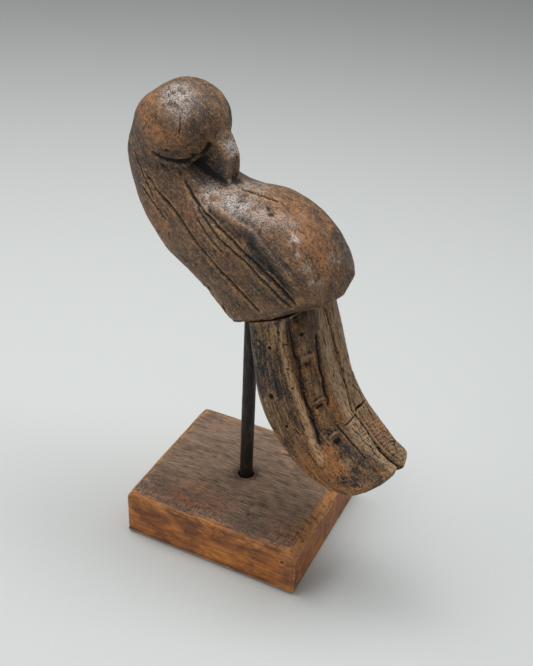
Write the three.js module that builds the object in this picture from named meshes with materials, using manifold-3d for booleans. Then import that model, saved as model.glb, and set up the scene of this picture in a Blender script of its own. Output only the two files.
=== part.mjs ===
// A carved wooden bird that looks back over its shoulder, on a steel rod in a chamfered wooden block.
// Millimetres, +Z up. The origin is on the rod's axis, in the plane that the felt stands on.
// The bird turns about that axis. At rest its plane of symmetry is turned by BIRD_YAW from the X axis.

import * as THREE from 'three';
import { mergeVertices } from 'three/addons/utils/BufferGeometryUtils.js';
import Module from 'manifold-3d';

// ---------------------------------------------------------------- driving dimensions

const GAP = 0.3;                       // left between pieces that touch
const PAST = 1;                        // how far a cutter runs past the face it opens
const WORLD = 400;                     // wider than the whole object

const FELT = { thick: 1.5, inset: 3, corner: 4 };

// Each chamfer runs "across" the top face and "down" the side below it.
const BASE = {
  length: 140, width: 122, height: 39,
  left: { across: 3, down: 5 },
  right: { across: 7, down: 7 },
  front: { across: 4, down: 4 },
  back: { across: 4, down: 4 },
};

const ROD = { radius: 5, sides: 32, tip: 1, inBird: 45 };
const BLOCK_BORE = { radius: 5.9, sides: 32 };
const RECESS = { radius: 14, depth: 15, sides: 40 };    // for the nut, under the block
const THREAD = { pitch: 1.5, depth: 0.8, turns: 8 };
const WASHER = { radius: 10.5, thick: 2 };
const NUT = { acrossFlats: 16, height: 8, chamfer: 1.2 };

const BIRD_YAW = THREE.MathUtils.degToRad(-15);

// Points in the bird's plane of symmetry are (x, z), with +x towards its tail.
const SEAM = { front: [-4, 187], rear: [63, 221] };     // the flat end of the body, over the tail
const TENON = { wide: 30, thick: 14, long: 30, root: 12 };
const PEG = { radius: 3, sides: 20, long: 46, up: 16 };
const JOINT_AT = 0.62;                 // where the tenon stands, from the front of the seam to its rear

// A loft's station is a flat ring from a belly point to a back point, with its half width across.
// "square" shapes the ring: 2 is an ellipse, and more is closer to a box.
const BODY = [
  { belly: [40, 160], back: [72, 215], half: 26, square: 4.2 },
  { belly: [16, 177], back: [65, 244], half: 31, square: 4.2 },
  { belly: [-5, 191], back: [47, 267], half: 33, square: 3.6 },
  { belly: [-29, 202], back: [18, 278], half: 33, square: 3.0 },
  { belly: [-60, 213], back: [-9, 276], half: 31, square: 2.7 },
  { belly: [-88, 232], back: [-29, 279], half: 28, square: 2.4 },
  { belly: [-106, 262], back: [-42, 287], half: 25, square: 2.3 },
  { belly: [-109, 288], back: [-42, 304], half: 24, square: 2.2 },
  { belly: [-94, 313], back: [-48, 318], half: 17, square: 2.1 },
];

const HEAD = { centre: [-64, 304], radii: [35, 28, 29], lean: THREE.MathUtils.degToRad(-25) };

// The beak, from the face down to the point that rests on the back.
const BEAK = [
  { belly: [-40, 269], back: [-19, 271], half: 5, square: 4 },
  { belly: [-46, 279], back: [-17, 284], half: 8, square: 4 },
  { belly: [-52, 290], back: [-20, 299], half: 10, square: 4 },
  { belly: [-54, 302], back: [-30, 312], half: 10, square: 4 },
];

const TAIL = [
  { belly: [125, 110], back: [127, 117], half: 13, square: 2.2 },
  { belly: [114, 103], back: [121, 118], half: 28, square: 2.6 },
  { belly: [97, 100], back: [111, 121], half: 33, square: 3.0 },
  { belly: [73, 104], back: [98, 130], half: 35, square: 3.2 },
  { belly: [46, 120], back: [83, 143], half: 34, square: 3.5 },
  { belly: [29, 143], back: [71, 160], half: 33, square: 3.5 },
  { belly: [22, 170], back: [61, 184], half: 32, square: 3.5 },
  { belly: [14, 202], back: [51, 223], half: 30, square: 3.5 },
];

const LOFT = { around: 36, along: 28 };

// ---------------------------------------------------------------- solids

const wasm = await Module();
wasm.setup();

function solid(geometry) {
  const bare = geometry.clone();
  bare.deleteAttribute('normal');
  bare.deleteAttribute('uv');
  const merged = mergeVertices(bare, 1e-4);
  return new wasm.Manifold(new wasm.Mesh({
    numProp: 3,
    vertProperties: new Float32Array(merged.attributes.position.array),
    triVerts: new Uint32Array(merged.index.array),
  }));
}

function geometryOf(manifold) {
  const { vertProperties, triVerts } = manifold.getMesh();
  const geometry = new THREE.BufferGeometry();
  geometry.setAttribute('position', new THREE.BufferAttribute(vertProperties, 3));
  geometry.setIndex(new THREE.BufferAttribute(triVerts, 1));
  return geometry;
}

// An upright round bar between two heights, on the Z axis.
function bar(radius, low, high, sides) {
  return new THREE.CylinderGeometry(radius, radius, high - low, sides)
    .rotateX(Math.PI / 2)
    .translate(0, 0, (low + high) / 2);
}

// A flat outline, pushed through a depth that is centred on the outline's own plane.
function slab(points, depth) {
  const shape = new THREE.Shape(points.map(([x, y]) => new THREE.Vector2(x, y)));
  return new THREE.ExtrudeGeometry(shape, { depth, bevelEnabled: false }).translate(0, 0, -depth / 2);
}

// A smooth curve through one number of each station, for u from 0 to 1.
function smooth(stations, pick) {
  const points = stations.map((station, i) => new THREE.Vector3(i, pick(station), 0));
  const curve = new THREE.CatmullRomCurve3(points, false, 'catmullrom', 0.5);
  return (u) => curve.getPoint(u).y;
}

// A cylinder's rings, each moved to its place on the stations' curves.
function loft(stations) {
  const bellyX = smooth(stations, (s) => s.belly[0]);
  const bellyZ = smooth(stations, (s) => s.belly[1]);
  const backX = smooth(stations, (s) => s.back[0]);
  const backZ = smooth(stations, (s) => s.back[1]);
  const half = smooth(stations, (s) => s.half);
  const square = smooth(stations, (s) => s.square);
  const geometry = new THREE.CylinderGeometry(1, 1, 1, LOFT.around, LOFT.along);
  const position = geometry.attributes.position;
  for (let i = 0; i < position.count; i += 1) {
    const u = 0.5 - position.getY(i);
    const push = (c) => Math.sign(c) * Math.abs(c) ** (2 / square(u));
    const up = 0.5 + push(position.getZ(i)) / 2;
    position.setXYZ(
      i,
      THREE.MathUtils.lerp(bellyX(u), backX(u), up),
      -push(position.getX(i)) * half(u),
      THREE.MathUtils.lerp(bellyZ(u), backZ(u), up),
    );
  }
  return solid(geometry);
}

// ---------------------------------------------------------------- stand

const floor = { felt: 0, block: FELT.thick + GAP };
floor.blockTop = floor.block + BASE.height;
floor.recessTop = floor.block + RECESS.depth;

function baseBlock() {
  const x = BASE.length / 2;
  const y = BASE.width / 2;
  const low = floor.block;
  const high = floor.blockTop;
  // Seen from the front, then from the right.
  const lengthwise = slab([
    [-x, low], [x, low], [x, high - BASE.right.down], [x - BASE.right.across, high],
    [-x + BASE.left.across, high], [-x, high - BASE.left.down],
  ], BASE.width).rotateX(Math.PI / 2);
  const crosswise = slab([
    [-y, low], [y, low], [y, high - BASE.back.down], [y - BASE.back.across, high],
    [-y + BASE.front.across, high], [-y, high - BASE.front.down],
  ], BASE.length).rotateX(Math.PI / 2).rotateZ(Math.PI / 2);
  return solid(lengthwise)
    .intersect(solid(crosswise))
    .subtract(solid(bar(BLOCK_BORE.radius, low - PAST, high + PAST, BLOCK_BORE.sides)))
    .subtract(solid(bar(RECESS.radius, low - PAST, floor.recessTop, RECESS.sides)));
}

function feltSheet() {
  const x = BASE.length / 2 - FELT.inset;
  const y = BASE.width / 2 - FELT.inset;
  const r = FELT.corner;
  const shape = new THREE.Shape()
    .moveTo(-x + r, -y)
    .lineTo(x - r, -y).absarc(x - r, -y + r, r, -Math.PI / 2, 0)
    .lineTo(x, y - r).absarc(x - r, y - r, r, 0, Math.PI / 2)
    .lineTo(-x + r, y).absarc(-x + r, y - r, r, Math.PI / 2, Math.PI)
    .lineTo(-x, -y + r).absarc(-x + r, -y + r, r, Math.PI, 1.5 * Math.PI);
  return solid(new THREE.ExtrudeGeometry(shape, {
    depth: FELT.thick, bevelEnabled: false, curveSegments: 6,
  }));
}

// The washer bears up on the recess, and the nut on the washer.
const washerTop = floor.recessTop - GAP;
const nutTop = washerTop - WASHER.thick - GAP;

function washer() {
  const inner = ROD.radius + GAP;
  return solid(new THREE.LatheGeometry([
    new THREE.Vector2(inner, 0), new THREE.Vector2(WASHER.radius, 0),
    new THREE.Vector2(WASHER.radius, WASHER.thick), new THREE.Vector2(inner, WASHER.thick),
    new THREE.Vector2(inner, 0),
  ], RECESS.sides).rotateX(Math.PI / 2).translate(0, 0, washerTop - WASHER.thick));
}

function hexNut() {
  const corner = NUT.acrossFlats / Math.sqrt(3);
  const low = nutTop - NUT.height;
  const prism = solid(bar(corner, low, nutTop, 6));
  const round = solid(new THREE.LatheGeometry([
    new THREE.Vector2(0, 0), new THREE.Vector2(corner - NUT.chamfer, 0),
    new THREE.Vector2(corner, NUT.chamfer), new THREE.Vector2(corner, NUT.height - NUT.chamfer),
    new THREE.Vector2(corner - NUT.chamfer, NUT.height), new THREE.Vector2(0, NUT.height),
  ], RECESS.sides).rotateX(Math.PI / 2).translate(0, 0, low));
  const hole = solid(bar(ROD.radius + GAP, low - PAST, nutTop + PAST, ROD.sides));
  return prism.intersect(round).subtract(hole);
}

// ---------------------------------------------------------------- bird

const seamRise = SEAM.rear[1] - SEAM.front[1];
const seamRun = SEAM.rear[0] - SEAM.front[0];
const seamSlope = Math.atan2(seamRise, seamRun);
const seamAtRod = SEAM.front[1] - SEAM.front[0] * Math.tan(seamSlope);
const rodTop = seamAtRod + ROD.inBird;

// Takes a geometry made around the origin to its place on the seam, square to it.
function onSeam(geometry) {
  return solid(geometry.rotateY(-seamSlope)
    .translate(SEAM.front[0] + JOINT_AT * seamRun, 0, SEAM.front[1] + JOINT_AT * seamRise));
}

// A box that reaches "deep" below the seam and "high" above it.
function seamBox(thick, wide, deep, high) {
  return onSeam(new THREE.BoxGeometry(thick, wide, high + deep).translate(0, 0, (high - deep) / 2));
}

function tailPeg(grow) {
  const radius = PEG.radius + grow;
  return onSeam(new THREE.CylinderGeometry(radius, radius, PEG.long + 2 * grow, PEG.sides)
    .translate(0, 0, PEG.up));
}

// Shank, round tip and, at the lower end, the ridges of the thread.
function mountingRod() {
  const low = nutTop - NUT.height - PAST;
  const root = ROD.radius - THREAD.depth;
  const profile = [new THREE.Vector2(0, low), new THREE.Vector2(root, low)];
  for (let turn = 1; turn <= THREAD.turns; turn += 1) {
    const z = low + turn * THREAD.pitch;
    profile.push(new THREE.Vector2(ROD.radius, z - THREAD.pitch / 2), new THREE.Vector2(root, z));
  }
  profile.push(new THREE.Vector2(ROD.radius, low + (THREAD.turns + 0.5) * THREAD.pitch));
  profile.push(new THREE.Vector2(ROD.radius, rodTop - ROD.tip));
  profile.push(new THREE.Vector2(ROD.radius - ROD.tip, rodTop), new THREE.Vector2(0, rodTop));
  return solid(new THREE.LatheGeometry(profile, ROD.sides).rotateX(Math.PI / 2));
}

function birdTail() {
  return loft(TAIL)
    .subtract(seamBox(WORLD, WORLD, GAP, WORLD))
    .add(seamBox(TENON.thick, TENON.wide, TENON.root, TENON.long))
    .subtract(tailPeg(GAP));
}

function birdBody() {
  const head = solid(new THREE.SphereGeometry(1, LOFT.around, LOFT.along)
    .scale(...HEAD.radii)
    .rotateY(HEAD.lean)
    .translate(HEAD.centre[0], 0, HEAD.centre[1]));
  const mortise = seamBox(TENON.thick + 2 * GAP, TENON.wide + 2 * GAP, PAST, TENON.long + GAP);
  const bore = solid(bar(ROD.radius + GAP, floor.blockTop, rodTop + GAP, ROD.sides));
  return loft(BODY).add(head).add(loft(BEAK))
    .subtract(seamBox(WORLD, WORLD, WORLD, 0))
    .subtract(mortise).subtract(bore).subtract(tailPeg(GAP));
}

// ---------------------------------------------------------------- scene

const finish = {
  carving: { color: 0x57402d, roughness: 0.62, metalness: 0 },
  block: { color: 0x6b4429, roughness: 0.7, metalness: 0 },
  steel: { color: 0x2f2b28, roughness: 0.5, metalness: 0.8 },
  peg: { color: 0x7a5a3a, roughness: 0.8, metalness: 0 },
  felt: { color: 0x23301f, roughness: 1, metalness: 0 },
};

const ornament = new THREE.Group();
const bird = new THREE.Group();
bird.rotation.z = BIRD_YAW;
ornament.add(bird);

function place(group, name, manifold, look) {
  const piece = new THREE.Mesh(geometryOf(manifold), new THREE.MeshStandardMaterial(finish[look]));
  piece.name = name;
  group.add(piece);
}

place(ornament, 'felt_sheet', feltSheet(), 'felt');
place(ornament, 'base_block', baseBlock(), 'block');
place(ornament, 'mounting_rod', mountingRod(), 'steel');
place(ornament, 'washer', washer(), 'steel');
place(ornament, 'hex_nut', hexNut(), 'steel');
place(bird, 'bird_body', birdBody(), 'carving');
place(bird, 'bird_tail', birdTail(), 'carving');
place(bird, 'tail_peg', tailPeg(0), 'peg');

export default ornament;
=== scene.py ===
import itertools
import math

import bpy
import numpy as np
from mathutils import Matrix, Vector


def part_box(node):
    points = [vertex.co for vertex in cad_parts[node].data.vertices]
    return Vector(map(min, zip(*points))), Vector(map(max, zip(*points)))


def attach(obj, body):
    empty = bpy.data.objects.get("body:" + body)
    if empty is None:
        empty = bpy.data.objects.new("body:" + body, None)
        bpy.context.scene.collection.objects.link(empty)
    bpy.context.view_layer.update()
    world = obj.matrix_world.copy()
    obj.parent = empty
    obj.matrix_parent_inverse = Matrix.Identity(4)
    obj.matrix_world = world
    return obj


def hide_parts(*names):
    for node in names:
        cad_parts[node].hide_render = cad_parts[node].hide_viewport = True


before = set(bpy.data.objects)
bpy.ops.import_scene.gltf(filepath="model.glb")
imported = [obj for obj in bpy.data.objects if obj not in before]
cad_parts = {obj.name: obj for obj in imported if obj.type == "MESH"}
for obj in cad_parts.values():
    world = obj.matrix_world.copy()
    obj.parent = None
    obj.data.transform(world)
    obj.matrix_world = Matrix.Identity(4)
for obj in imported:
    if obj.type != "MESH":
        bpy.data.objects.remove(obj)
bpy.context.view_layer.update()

# The looks of a carved wooden bird on a steel rod in a wooden block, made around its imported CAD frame.
# Shapes are worked out in millimetres, and become metres when a mesh is made.
# The bird is carved in its own frame: t runs from its breast to its tail, n across it, z up. Its near
# flank has negative n. BIRD_YAW turns that frame to the shared one.

MM = 0.001
BIRD_YAW = math.radians(-15)
SEED = 11

# ---------------------------------------------------------------- sizes (millimetres)

# Stations of the lofts, the same as the CAD solids': belly (t, z), back (t, z), half width, squareness.
BODY = [
    ((40, 160), (72, 215), 26, 4.2),
    ((16, 177), (65, 244), 31, 4.2),
    ((-5, 191), (47, 267), 33, 3.6),
    ((-29, 202), (18, 278), 33, 3.0),
    ((-60, 213), (-9, 276), 31, 2.7),
    ((-88, 232), (-29, 279), 28, 2.4),
    ((-106, 262), (-42, 287), 25, 2.3),
    ((-109, 288), (-42, 304), 24, 2.2),
    ((-94, 313), (-48, 318), 17, 2.1),
]
BEAK = [
    ((-40, 267), (-17, 269), 9, 7),
    ((-46, 279), (-16, 284), 10, 7),
    ((-52, 290), (-17, 299), 11, 7),
    ((-54, 302), (-27, 312), 11, 7),
]
TAIL = [
    ((125, 110), (127, 117), 13, 2.2),
    ((114, 103), (121, 118), 28, 2.6),
    ((97, 100), (111, 121), 33, 3.0),
    ((73, 104), (98, 130), 35, 3.2),
    ((46, 120), (83, 143), 34, 3.5),
    ((29, 143), (71, 160), 33, 3.5),
    ((22, 170), (61, 184), 32, 3.5),
    ((14, 202), (51, 223), 30, 3.5),
]
HEAD = {"centre": (-64, 0, 304), "radii": (35, 28, 29), "lean": math.radians(-25)}
NAPE = {"centre": (-78, 0, 299), "radii": (27, 23, 24.5), "lean": 0.0}    # fills the neck out to the head

GAP = 0.3                                   # left between pieces that touch, as in the CAD
SEAM = {"front": (-4, 187), "rear": (63, 221)}
JOINT_AT = 0.62
TENON = {"wide": 30, "thick": 14, "long": 30, "root": 12}
PEG = {"radius": 3, "long": 46, "up": 16}
ROD_RADIUS = 5
FAR = 300                                   # bigger than the bird, for cutters that take all of one side
ROD_IN_BIRD = 45
THREAD = {"pitch": 1.5, "depth": 0.8, "turns": 8}
FELT_SQUARENESS = 9                         # of the superellipse that is the felt's outline

VOXEL = {"body": 0.8, "tail": 0.7, "block": 0.95}

# Metres, degrees (azimuth from +Y towards +X) and millimetres of lens on a 36 mm sensor.
CAMERA = {
    "place": (0.24057, -0.50677, 0.53234), "lens": 51.93,
    "azimuth": -24.31, "pitch": -32.94, "roll": 2.70,
}

seam_front = np.array([SEAM["front"][0], 0, SEAM["front"][1]], float)
seam_rear = np.array([SEAM["rear"][0], 0, SEAM["rear"][1]], float)
seam_line = (seam_rear - seam_front) / np.linalg.norm(seam_rear - seam_front)
seam_up = np.array([-seam_line[2], 0, seam_line[0]])
seam_slope = math.atan2(seam_line[2], seam_line[0])
joint_place = seam_front + JOINT_AT * (seam_rear - seam_front)

# ---------------------------------------------------------------- numbers


def ease(value, low, high):
    """0 below low, 1 above high, smooth between."""
    share = np.clip((value - low) / (high - low), 0, 1)
    return share * share * (3 - 2 * share)


def hill(distance, width):
    return np.exp(-((distance / width) ** 2))


def curve(values, u):
    """A Catmull-Rom curve through the rows of values, for u from 0 to 1."""
    values = np.asarray(values, float)
    rows = values.reshape(len(values), -1)
    padded = np.vstack([2 * rows[0] - rows[1], rows, 2 * rows[-1] - rows[-2]])
    place = np.asarray(u) * (len(rows) - 1)
    i = np.minimum(place.astype(int), len(rows) - 2)
    f = (place - i)[:, None]
    p0, p1, p2, p3 = (padded[i + k] for k in range(4))
    found = 0.5 * (
        2 * p1 + (p2 - p0) * f
        + (2 * p0 - 5 * p1 + 4 * p2 - p3) * f ** 2
        + (3 * p1 - p0 - 3 * p2 + p3) * f ** 3
    )
    return found.reshape(len(found), *values.shape[1:])


def lattice(cells, seed):
    """A repeatable number from -1 to 1 for each cell of a grid."""
    x, y, z = (cells[:, k].astype(np.uint64) for k in range(3))
    mixed = x * np.uint64(0x9E3779B97F4A7C15)
    mixed ^= y * np.uint64(0xC2B2AE3D27D4EB4F)
    mixed ^= z * np.uint64(0x165667B19E3779F9)
    mixed += np.uint64(seed * 7919 + SEED)
    mixed ^= mixed >> np.uint64(29)
    mixed *= np.uint64(0xBF58476D1CE4E5B9)
    mixed ^= mixed >> np.uint64(32)
    return (mixed & np.uint64(0xFFFFFF)).astype(float) / 0x7FFFFF - 1


def noise(points, size, seed):
    """Smooth noise from -1 to 1, in blobs of one size, or of one size along each axis."""
    scaled = points / np.asarray(size, float)
    cell = np.floor(scaled).astype(np.int64)
    part = scaled - cell
    part = part * part * (3 - 2 * part)
    total = np.zeros(len(points))
    for corner in itertools.product((0, 1), repeat=3):
        weight = np.prod(np.where(corner, part, 1 - part), axis=1)
        total += weight * lattice(cell + np.array(corner), seed)
    return total


def layered(points, size, seed, layers=4):
    """Noise with finer and weaker layers on top."""
    size = np.asarray(size, float)
    total = sum(0.5 ** k * noise(points, size * 0.5 ** k, seed + 31 * k) for k in range(layers))
    return total / (2 - 0.5 ** (layers - 1))


def from_path(points, path):
    """How far each point is from a line of points, and where along it its nearest place is, 0 to 1."""
    gap = np.full(len(points), np.inf)
    along = np.zeros(len(points))
    for i, (start, end) in enumerate(zip(path[:-1], path[1:])):
        step = end - start
        if not step.any():
            continue
        share = np.clip((points - start) @ step / (step @ step), 0, 1)
        here = np.linalg.norm(points - start - share[:, None] * step, axis=1)
        closer = here < gap
        gap[closer] = here[closer]
        along[closer] = (i + share[closer]) / (len(path) - 1)
    return gap, along


def smooth_path(points):
    return curve(points, np.linspace(0, 1, 24))


# ---------------------------------------------------------------- meshes


def placed(name, data):
    """A new object with that data, in the scene."""
    obj = bpy.data.objects.new(name, data)
    bpy.context.scene.collection.objects.link(obj)
    return obj


def new_object(name, points, faces):
    mesh = bpy.data.meshes.new(name)
    mesh.from_pydata(np.asarray(points, float) * MM, [], faces)
    mesh.update()
    return placed(name, mesh)


def grid_faces(rings, around):
    """Quads between rings of points, with a flat face on the first and the last ring."""
    faces = []
    for i in range(rings - 1):
        for j in range(around):
            k = (j + 1) % around
            faces.append((i * around + j, i * around + k, (i + 1) * around + k, (i + 1) * around + j))
    faces.append(tuple(reversed(range(around))))
    faces.append(tuple((rings - 1) * around + j for j in range(around)))
    return faces


def loft(name, stations, around=144, along=110):
    u = np.linspace(0, 1, along)
    belly, back = (curve([station[k] for station in stations], u) for k in (0, 1))
    half, square = (curve([station[k] for station in stations], u)[:, None] for k in (2, 3))
    angle = np.linspace(0, 2 * math.pi, around, endpoint=False)[None, :]

    def push(c):
        return np.sign(c) * np.abs(c) ** (2 / square)

    up = 0.5 + push(np.cos(angle)) / 2
    across = push(np.sin(angle)) * half
    t = belly[:, :1] + (back[:, :1] - belly[:, :1]) * up
    z = belly[:, 1:] + (back[:, 1:] - belly[:, 1:]) * up
    return new_object(name, np.stack([t, across, z], axis=2).reshape(-1, 3), grid_faces(along, around))


def ball(name, centre, radii, lean, around=96):
    """An ellipsoid, leaning about the n axis."""
    polar = np.linspace(0, math.pi, around // 2)[1:-1, None]
    angle = np.linspace(0, 2 * math.pi, around, endpoint=False)[None, :]
    x = radii[0] * np.sin(polar) * np.cos(angle)
    y = radii[1] * np.sin(polar) * np.sin(angle)
    z = radii[2] * np.cos(polar) * np.ones_like(angle)
    leaning_x = x * math.cos(lean) + z * math.sin(lean)
    leaning_z = z * math.cos(lean) - x * math.sin(lean)
    points = np.stack([leaning_x, y, leaning_z], axis=2).reshape(-1, 3) + centre
    return new_object(name, points, grid_faces(around // 2 - 2, around))


CUBE = np.array(list(itertools.product((-0.5, 0.5), repeat=3)))
CUBE_FACES = [(0, 1, 3, 2), (4, 6, 7, 5), (0, 4, 5, 1), (2, 3, 7, 6), (0, 2, 6, 4), (1, 5, 7, 3)]


def box(name, size, centre, turn=0.0, pivot=(0, 0, 0)):
    """A box, made about the origin, moved to centre, turned about the n axis and moved to pivot."""
    x, y, z = (CUBE * size + centre).T
    turned_x = x * math.cos(turn) - z * math.sin(turn)
    turned_z = x * math.sin(turn) + z * math.cos(turn)
    return new_object(name, np.stack([turned_x, y, turned_z], axis=1) + pivot, CUBE_FACES)


def beyond(name, place, direction, size):
    """A cube that stands on a plane, on the side that direction points to: for planing a corner off."""
    turn = np.array(Vector(direction).normalized().to_track_quat("Z", "Y").to_matrix())
    return new_object(name, (CUBE + (0, 0, 0.5)) * size @ turn.T + place, CUBE_FACES)


def tube(name, start, end, radius, around=48):
    """A plain round bar between two points, for cutting holes."""
    start, end = np.array(start, float), np.array(end, float)
    way = (end - start) / np.linalg.norm(end - start)
    side = np.cross(way, (1, 0, 0) if abs(way[0]) < 0.9 else (0, 1, 0))
    side /= np.linalg.norm(side)
    other = np.cross(way, side)
    angle = np.linspace(0, 2 * math.pi, around, endpoint=False)[:, None]
    ring = radius * (np.cos(angle) * side + np.sin(angle) * other)
    return new_object(name, np.vstack([start + ring, end + ring]), grid_faces(2, around))


def apply_modifiers(obj):
    graph = bpy.context.evaluated_depsgraph_get()
    mesh = bpy.data.meshes.new_from_object(obj.evaluated_get(graph))
    obj.modifiers.clear()
    obj.data = mesh
    return obj


def joined(name, parts):
    """The parts as one mesh object."""
    points, faces, start = [], [], 0
    for part in parts:
        points.append(points_of(part))
        faces += [tuple(start + v for v in face.vertices) for face in part.data.polygons]
        start += len(part.data.vertices)
        bpy.data.objects.remove(part)
    return new_object(name, np.vstack(points), faces)


def remesh(obj, size):
    modifier = obj.modifiers.new("remesh", "REMESH")
    modifier.mode = "VOXEL"
    modifier.voxel_size = size * MM
    return apply_modifiers(obj)


def combine(obj, tool, operation="DIFFERENCE"):
    """Cuts tool out of obj, or adds it, and removes tool."""
    modifier = obj.modifiers.new("boolean", "BOOLEAN")
    modifier.operation = operation
    modifier.solver = "MANIFOLD"
    modifier.object = tool
    apply_modifiers(obj)
    bpy.data.objects.remove(tool)
    return obj


def numbers(collection, key, width):
    values = np.empty(len(collection) * width, np.float32)
    collection.foreach_get(key, values)
    return values.reshape(-1, width).astype(float)


def points_of(obj):
    return numbers(obj.data.vertices, "co", 3) / MM


def normals_of(obj):
    return numbers(obj.data.vertex_normals, "vector", 3)


def move_to(obj, points):
    obj.data.vertices.foreach_set("co", (points * MM).astype(np.float32).ravel())
    obj.data.update()


def edges_of(obj):
    ends = np.empty(2 * len(obj.data.edges), np.int32)
    obj.data.edges.foreach_get("vertices", ends)
    return ends.reshape(-1, 2)


def averaged(values, edges, rounds):
    """Each point's values, replaced by its neighbours' mean, several times over."""
    count = len(values)
    neighbours = np.maximum(np.bincount(edges.ravel(), minlength=count), 1)
    for _ in range(rounds):
        columns = []
        for column in values.T:
            total = np.bincount(edges[:, 0], column[edges[:, 1]], count)
            total += np.bincount(edges[:, 1], column[edges[:, 0]], count)
            columns.append(total / neighbours)
        values = np.stack(columns, axis=1)
    return values


def soften(obj, rounds):
    move_to(obj, averaged(points_of(obj), edges_of(obj), rounds))
    return obj


def hollowness(obj, rounds):
    """How far each point lies below the mean of its surroundings, in millimetres. Ridges are negative."""
    points = points_of(obj)
    return ((averaged(points, edges_of(obj), rounds) - points) * normals_of(obj)).sum(axis=1)


def store(obj, name, values):
    kind = "FLOAT" if values.ndim == 1 else "FLOAT_VECTOR"
    attribute = obj.data.attributes.new(name, kind, "POINT")
    key = "value" if values.ndim == 1 else "vector"
    attribute.data.foreach_set(key, values.astype(np.float32).ravel())


def store_shares(obj, **shares):
    """Stores numbers from 0 to 1, one for each point, under their names."""
    for name, values in shares.items():
        store(obj, name, np.clip(values, 0, 1))


def shade_smooth(obj):
    obj.data.polygons.foreach_set("use_smooth", np.ones(len(obj.data.polygons), bool))
    obj.data.update()


def turn_to_frame(obj):
    """From the bird's own frame to the shared one."""
    obj.data.transform(Matrix.Rotation(BIRD_YAW, 4, "Z"))
    obj.data.update()


# ---------------------------------------------------------------- carving tools
# Each takes the points, and returns how far they move along their normals.


def groove(points, path, width, depth, lip=0.0, ends=0.08, wobble=0.0, seed=1):
    """A cut along a path. It fades at its ends, and its edges may be raised."""
    shaken = points + wobble * np.stack([noise(points, 7, seed + k) for k in range(3)], axis=1)
    gap, along = from_path(shaken, path)
    fade = ease(along, -0.001, ends) * ease(1 - along, -0.001, ends)
    return fade * (lip * hill(gap - 2.1 * width, 0.8 * width) - depth * hill(gap, width))


def dent(points, centre, radius, depth, rim=0.0):
    gap = np.linalg.norm(points - np.array(centre, float), axis=1)
    return rim * hill(gap - 1.3 * radius, 0.4 * radius) - depth * hill(gap, radius)


def flat_cut(points, normals, place, direction, reach, deep=0.0, most=100.0):
    """Planes off what stands above a plane, as one chisel stroke does, unless it stands too high."""
    direction = np.array(direction, float) / np.linalg.norm(direction)
    away = points - np.array(place, float)
    height = away @ direction + deep
    near = np.linalg.norm(away, axis=1) < reach
    cut = near & (height > 0) & (height < most) & (normals @ direction > 0.2)
    points[cut] -= height[cut, None] * direction


def chisel_all_over(points, normals, bulging, strokes, depth, reach, seed):
    """Shallow flats all over the parts of a carving that bulge."""
    random = np.random.default_rng(seed)
    for i in random.choice(np.flatnonzero(bulging), strokes, replace=False):
        deep = depth * random.uniform(0.4, 1)
        flat_cut(points, normals, points[i].copy(), normals[i], reach, deep, 1.3 * deep)


def settled(points, path):
    """The number of the surface point nearest to each point of a path."""
    return np.array([np.argmin(((points - place) ** 2).sum(axis=1)) for place in path])


def melted(points, edges, amount, rounds):
    """The points with creases filled and ridges sunk, where amount is near 1."""
    for _ in range(rounds):
        points = points + amount[:, None] * (averaged(points, edges, 1) - points)
    return points


def blobs(points, spots):
    """Soft spots: each is three coordinates, a radius and an amount."""
    total = np.zeros(len(points))
    for *centre, radius, amount in spots:
        total += amount * hill(np.linalg.norm(points - np.array(centre, float), axis=1), radius)
    return total


def mirrored(path, shift=(0, 0, 0)):
    """A path of the near flank on the far one, a little off its place."""
    return np.array(path, float) * (1, -1, 1) + np.array(shift, float)


def along_cuts(points, cuts, aside=0.0):
    """1 in thin cuts, given as (path, width), or along both sides of them, aside widths away."""
    near = [hill(from_path(points, path)[0] - aside * width, width) for path, width in cuts]
    return np.max(near, axis=0)


# ---------------------------------------------------------------- bird's body

# Long cuts in the near flank, from the neck to the rear: path, width, depth, lip.
FLANK_CUTS = [
    ([(-76, -23, 272), (-61, -27, 263), (-46, -29, 257), (-19, -32, 241), (6, -33, 229), (32, -32, 215)],
     1.0, 2.4, 0.5),
    ([(-44, -21, 276), (-28, -25, 267), (-9, -30, 261), (17, -33, 252), (43, -32, 240), (62, -28, 227)],
     0.9, 1.7, 0.5),
    ([(-38, -23, 271), (-22, -27, 262), (-4, -32, 254), (20, -33, 246), (44, -32, 233), (60, -29, 224)],
     0.8, 1.2, 0.3),
    ([(-24, -29, 258), (-7, -32, 249), (3, -33, 244)], 0.7, 1.2, 0.2),
    ([(-80, -25, 262), (-66, -27, 254), (-52, -28, 247)], 0.8, 0.9, 0.2),
    ([(-88, -20, 284), (-78, -24, 270), (-66, -27, 258)], 0.7, 0.8, 0.1),
]
RIDGE = [(-22, -23, 272), (-7, -26, 268), (21, -29, 265), (37, -30, 256), (52, -29, 246), (63, -27, 232)]
CHEEK = [
    (-73, -24, 290), (-63, -23, 287), (-54, -20, 286), (-46, -16, 287), (-38, -12, 292), (-31, -11, 300),
]
UNDER_CHEEK = [(-70, -25, 283), (-60, -25, 280), (-50, -22, 279), (-42, -18, 281)]
BEHIND_BEAK = [(-31, -9, 303), (-37, -9, 295), (-43, -9, 285), (-42, -9, 276), (-34, -8, 270)]
BROW = [(-33, -13, 302), (-27, -9, 307), (-25, 0, 310), (-27, 9, 307), (-33, 13, 302)]
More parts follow.
